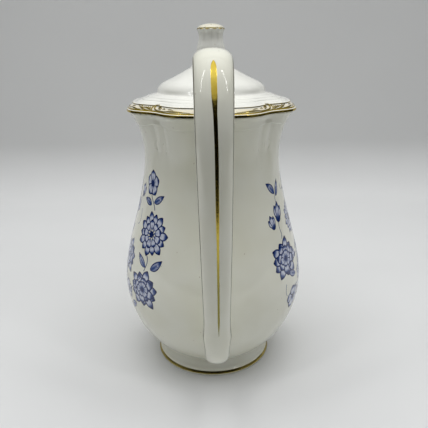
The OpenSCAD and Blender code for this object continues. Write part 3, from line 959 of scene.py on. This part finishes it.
def line(centre, points, w0, w1, shade, layer=3):
    """A brushed line through (x, y) points, from width w0 to w1."""
    top, under, ink = [], [], []
    for i, (x, y) in enumerate(points):
        a, b = points[max(i - 1, 0)], points[min(i + 1, len(points) - 1)]
        run = math.hypot(b[0] - a[0], b[1] - a[1]) or 1
        half = (w0 + (w1 - w0) * i / (len(points) - 1)) / 2
        nx, ny = -half * (b[1] - a[1]) / run, half * (b[0] - a[0]) / run
        for grid, lift in ((top, print_lift(layer)), (under, print_sink)):
            grid.append([body_point(centre, x + c * nx, y + c * ny, lift) for c in (-1, 0, 1)])
        ink.append([shade] * 3)
    add_skin(top, under, ink)


def leaf(centre, start, turn, length, width, bend):
    petal(centre, start, turn, length, width, 0, bend, 0.35, 0.7, 0.62)
    for side in (-1, 1):
        for t in (0.3, 0.5, 0.7):
            x, y = length * t, bend * length * t * t
            vein = [away(start, turn, x, y), away(start, turn, x + 0.16 * length, y + side * width * 0.3)]
            line(centre, vein, 0.3, 0.12, 0.15, 2)


def tendril(centre, start, turn, length, curl):
    points = []
    x, y = start
    a = math.radians(turn)
    steps = 18
    for k in range(steps + 1):
        points.append((x, y))
        t = k / steps
        a += curl * (0.05 + 0.42 * t ** 3)
        x += length / steps * math.cos(a)
        y += length / steps * math.sin(a)
    line(centre, points, 0.42, 0.18, 0.3)


def daisy(centre, at, radius, petals, turn, layer=0):
    """Open bloom with narrow petals round a dotted eye."""
    for k in range(petals):
        a = turn + 360 * k / petals
        r = radius * (1 - 0.12 * (k % 2))
        start = away(at, a, 0.22 * radius)
        petal(centre, start, a, 0.78 * r, 5.4 * r / petals, layer + k % 2, 0, 0.15, 1, 1.2)
    eye(centre, at, 0.15 * radius, layer + 3)


def eye(centre, at, radius, layer):
    """Dark dotted eye of a bloom."""
    d = 0.42 * radius
    for k in range(7):
        x, y = away(at, 60 * k, 0 if k == 6 else 0.62 * radius)
        dot = [(x - d, y), (x - d / 2, y), (x, y), (x + d / 2, y), (x + d, y)]
        line(centre, dot, 2 * d, 1.7 * d, 0.05, layer)


def rose(centre, at, radius, turn):
    """Cupped bloom of three rings of broad overlapping petals, a little darker toward the heart."""
    for ring, count in enumerate((11, 8, 6)):
        r = radius * (1 - 0.27 * ring)
        for k in range(count):
            a = turn + 360 * (k + 0.5 * (ring % 2)) / count
            reach = 0.9 * r * (1 + 0.12 * math.sin(3.7 * k + 1.3 * ring))
            petal(centre, away(at, a, 0.1 * r), a + 5 * math.sin(5.1 * k + ring), reach, 5.6 * r / count,
                  2 * ring + k % 2, 0, 0.12, 1 - 0.06 * ring, 1.1)
    eye(centre, at, 0.11 * radius, 7)


def bud(centre, at, turn, size):
    """Three closed petals, the middle one over the others, held by two short sepals."""
    for lean, length, layer in ((-24, 0.9, 0), (24, 0.9, 0), (0, 1.05, 2)):
        petal(centre, at, turn + lean, size * length, size * 0.5, layer, 0, 0.1, 1, 0.8)
    stalk = away(at, turn, -0.12 * size)
    for lean in (-40, 40):
        petal(centre, stalk, turn + lean, size * 0.5, size * 0.2, 3, 0, 0.05, 0.25, 0.6)


def small_flower(centre, at, radius, petals, turn):
    for k in range(petals):
        petal(centre, at, turn + 360 * k / petals, radius, radius * 0.95, k % 2, 0, 0.15, 1, 0.95)
    eye(centre, at, 0.24 * radius, 3)


def left_spray(at):
    c = (at, print_z)
    line(c, bezier((2, -38), (-3, -20), (5, -4), (8, 44), 26), 0.8, 0.45, 0.2)
    line(c, bezier((0, -22), (8, -18), (14, -22), (19, -30), 14), 0.6, 0.35, 0.22)
    rose(c, (16, -12), 12.5, 12)
    small_flower(c, (21, -36), 7.5, 5, 20)
    leaf(c, (14, -27), 200, 12, 5, 0.2)
    leaf(c, (8, -30), 250, 12, 5, -0.2)
    leaf(c, (2, 8), 150, 14, 5.5, 0.2)
    leaf(c, (4, 2), 40, 9, 4, 0.2)
    bud(c, (20, 33), 75, 9)
    small_flower(c, (12, 24), 5.5, 5, 50)
    line(c, bezier((7, 22), (12, 28), (15, 30), (20, 34), 10), 0.5, 0.35, 0.2)
    leaf(c, (7, 32), 120, 10, 4, 0.1)
    tendril(c, (23, 24), -60, 15, -1)
    tendril(c, (8, -44), -20, 12, 1)
    daisy(c, (-16, 12), 11, 12, 5)
    rose(c, (-14, -22), 12, 40)
    line(c, bezier((0, -10), (-6, -4), (-10, 4), (-14, 10), 12), 0.6, 0.35, 0.2)
    bud(c, (-8, 34), 120, 10)
    leaf(c, (-2, -40), 200, 12, 5, 0.2)
    daisy(c, (44, 11), 15.5, 14, 4)
    daisy(c, (44, 11), 10, 9, 20, 3)
    rose(c, (42, -28), 13.5, 12)
    leaf(c, (48, -12), 30, 12, 5.5, 0.2)
    leaf(c, (43, -12), 150, 12, 5, -0.15)
    leaf(c, (33, -42), 215, 12, 5, 0.1)
    small_flower(c, (36, 44), 9, 5, 20)
    leaf(c, (41, 32), 20, 12, 5, 0.15)
    leaf(c, (38, 30), 160, 11, 5, 0.1)
    line(c, bezier((43, 27), (42, 32), (35, 34), (36, 40), 18), 0.7, 0.4, 0.15)
    line(c, bezier((43, -4), (46, -8), (43, -12), (42, -15), 12), 0.7, 0.4, 0.15)
    line(c, bezier((8, -30), (18, -48), (30, -30), (40, -20), 18), 0.7, 0.4, 0.2)


def right_spray(at):
    c = (at, print_z)
    line(c, bezier((-2, -38), (3, -20), (-5, -4), (-6, 44), 26), 0.8, 0.45, 0.2)
    daisy(c, (-14, 14), 12.5, 16, 9)
    daisy(c, (-14, 14), 8, 10, 20, 3)
    leaf(c, (-6, -4), 215, 13, 5, -0.2)
    leaf(c, (-8, -14), 195, 12, 5, 0.2)
    small_flower(c, (-17, -26), 7, 5, 10)
    bud(c, (-22, -12), 150, 7)
    line(c, bezier((-2, -16), (-8, -20), (-12, -22), (-16, -26), 12), 0.6, 0.35, 0.2)
    line(c, bezier((-6, -10), (-12, -12), (-16, -12), (-21, -12), 10), 0.5, 0.3, 0.2)
    bud(c, (-8, 38), 100, 8)
    tendril(c, (-13, 36), 200, 12, -1)
    tendril(c, (-14, -38), 200, 12, 1)
    leaf(c, (-4, 30), 140, 10, 4, 0.1)
    rose(c, (14, -8), 12.5, 25)
    small_flower(c, (14, 24), 8, 6, 15)
    leaf(c, (6, 10), 60, 12, 5, 0.1)
    leaf(c, (4, -26), -40, 13, 5, 0.1)
    bud(c, (12, -34), -70, 9)
    rose(c, (-38, -9), 14, 12)
    bud(c, (-37, 18), 80, 12)
    bud(c, (-44, 14), 110, 9)
    small_flower(c, (-31, -40), 9, 5, 30)
    leaf(c, (-27, -24), 165, 12, 5, -0.2)
    leaf(c, (-34, 34), 60, 12, 5, 0.1)
    leaf(c, (-36, 36), 130, 13, 5.5, 0.2)
    tendril(c, (-41, -27), 250, 13, 1)
    line(c, bezier((-2, -20), (-14, -40), (-26, -30), (-32, -34), 16), 0.7, 0.35, 0.2)
    line(c, bezier((-38, 5), (-35, 9), (-40, 12), (-37, 17), 12), 0.6, 0.35, 0.2)
    line(c, bezier((-37, 26), (-34, 29), (-38, 32), (-35, 36), 10), 0.5, 0.3, 0.2)


left_spray(180)
right_spray(0)
blue_print = build_mesh("blue_print", print_points, print_faces, merge=False)
ink_map = blue_print.data.attributes.new("ink", "FLOAT", "POINT")
ink_map.data.foreach_set("value", print_ink)


def ink_material():
    """Blue under the glaze, a little mottled: dark where the ink attribute is 0 and pale where it is 1."""
    material, nodes, links, shader = new_material("blue_print")
    glaze_over(nodes, links, shader)
    wash = nodes.new("ShaderNodeAttribute")
    wash.attribute_name = "ink"
    mottle = nodes.new("ShaderNodeTexNoise")
    mottle.inputs["Scale"].default_value = 700
    where = nodes.new("ShaderNodeTexCoord")
    links.new(where.outputs["Object"], mottle.inputs["Vector"])
    depth = maths(nodes, links, "MULTIPLY_ADD", mottle.outputs["Fac"], 0.3, wash.outputs["Fac"])
    ramp = nodes.new("ShaderNodeValToRGB")
    stops = ramp.color_ramp.elements
    stops[0].position, stops[0].color = 0.0, (0.006, 0.015, 0.09, 1)
    stops[1].position, stops[1].color = 0.9, (0.63, 0.66, 0.75, 1)
    middle = stops.new(0.4)
    middle.color = (0.06, 0.11, 0.30, 1)
    links.new(maths(nodes, links, "SUBTRACT", depth, 0.15), ramp.inputs[0])
    links.new(ramp.outputs[0], shader.inputs["Base Color"])
    return material


blue_print.data.materials.append(ink_material())
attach(blue_print, "pot")


# ---- Floor and backdrop ------------------------------------------------------------------------
# One sheet of pale matt paper. It lies flat under the pot and curves up behind it, so that no edge shows
# between floor and backdrop.
sheet_w, sheet_d, sheet_h, bend_r, bend_steps = 1.7, 0.76, 1.6, 0.08, 12
bpy.ops.object.select_all(action="DESELECT")
bpy.ops.mesh.primitive_plane_add(size=1)
sweep = bpy.context.object
sweep.name = "floor_sweep"
bpy.ops.object.mode_set(mode="EDIT")
bpy.ops.mesh.select_all(action="SELECT")
bpy.ops.transform.resize(value=(sheet_w, sheet_d, 1), center_override=(0, 0, 0))
bpy.ops.object.mode_set(mode="OBJECT")
back = max(v.co.y for v in sweep.data.vertices)
for edge in sweep.data.edges:
    edge.select = all(sweep.data.vertices[i].co.y > back - 0.001 for i in edge.vertices)
for v in sweep.data.vertices:
    v.select = v.co.y > back - 0.001
for face in sweep.data.polygons:
    face.select = False
bpy.ops.object.mode_set(mode="EDIT")
bpy.ops.mesh.select_mode(type="EDGE")
for k in range(bend_steps):
    a, b = math.pi / 2 * k / bend_steps, math.pi / 2 * (k + 1) / bend_steps
    step = (0, bend_r * (math.sin(b) - math.sin(a)), bend_r * (math.cos(a) - math.cos(b)))
    bpy.ops.mesh.extrude_region_move(TRANSFORM_OT_translate={"value": step})
bpy.ops.mesh.extrude_region_move(TRANSFORM_OT_translate={"value": (0, 0, sheet_h)})
bpy.ops.object.mode_set(mode="OBJECT")
bpy.ops.object.shade_smooth_by_angle(angle=math.radians(40))
paper, nodes, links, shader = new_material("paper")
grain = nodes.new("ShaderNodeTexNoise")
grain.inputs["Scale"].default_value = 6
cloud = ranged(nodes, links, grain.outputs["Fac"], 0, 1)
links.new(mixed(nodes, links, cloud, (0.66, 0.665, 0.655), (0.69, 0.695, 0.685)), shader.inputs["Base Color"])
shader.inputs["Roughness"].default_value = 0.9
sweep.data.materials.append(paper)


# ---- Studio light ------------------------------------------------------------------------------
# A large softbox hangs over the pot, with a narrow strip high on either side. The room has a pale ceiling
# and dim walls, and is dark below and in front, where the camera stands. Past the sheet's edge the camera
# sees a plain grey wall, which lights nothing.
for name, place, size, watts in (("ceiling_softbox", (0, 0, 1.3), (1.3, 0.9), 9.2),
                                 ("left_strip", (-0.42, -0.3, 0.8), (0.03, 0.5), 0.5),
                                 ("right_strip", (0.42, -0.3, 0.8), (0.03, 0.5), 0.5)):
    bpy.ops.object.light_add(type="AREA", location=place)
    lamp = bpy.context.object
    lamp.name = name
    lamp.data.shape = "RECTANGLE"
    lamp.data.size, lamp.data.size_y = size
    lamp.data.energy = watts
    lamp.rotation_euler = (Vector((0, 0, 0.12)) - Vector(place)).to_track_quat("-Z", "Y").to_euler()
    lamp.visible_glossy = name != "ceiling_softbox"
world = bpy.data.worlds.new("room")
world.use_nodes = True
nodes, links = world.node_tree.nodes, world.node_tree.links
way, part = nodes.new("ShaderNodeTexCoord"), nodes.new("ShaderNodeSeparateXYZ")
links.new(way.outputs["Generated"], part.inputs[0])


def room_span(axis, low, high, bright):
    """Rises smoothly from 0 to bright between two heights or depths of the direction looked in."""
    span = nodes.new("ShaderNodeMapRange")
    span.interpolation_type = "SMOOTHSTEP"
    for socket, value in (("From Min", low), ("From Max", high), ("To Min", 0), ("To Max", bright)):
        span.inputs[socket].default_value = value
    links.new(part.outputs[axis], span.inputs["Value"])
    return span.outputs[0]


room_walls = maths(nodes, links, "MULTIPLY", room_span("Z", -0.05, 0.35, 0.27), room_span("Y", -0.8, -0.3, 1))
room_ceiling = maths(nodes, links, "ADD", room_span("Z", 0.52, 0.62, 0.55), room_span("Z", 0.85, 0.99, 0.3))
seen = nodes.new("ShaderNodeLightPath")
plain_wall = maths(nodes, links, "MULTIPLY", seen.outputs["Is Camera Ray"], 0.4)
room = maths(nodes, links, "MAXIMUM", maths(nodes, links, "ADD", room_walls, room_ceiling), plain_wall)
links.new(room, nodes["Background"].inputs[1])
nodes["Background"].inputs[0].default_value = (0.95, 0.96, 1, 1)
bpy.context.scene.world = world
bpy.context.scene.view_settings.view_transform = "Standard"
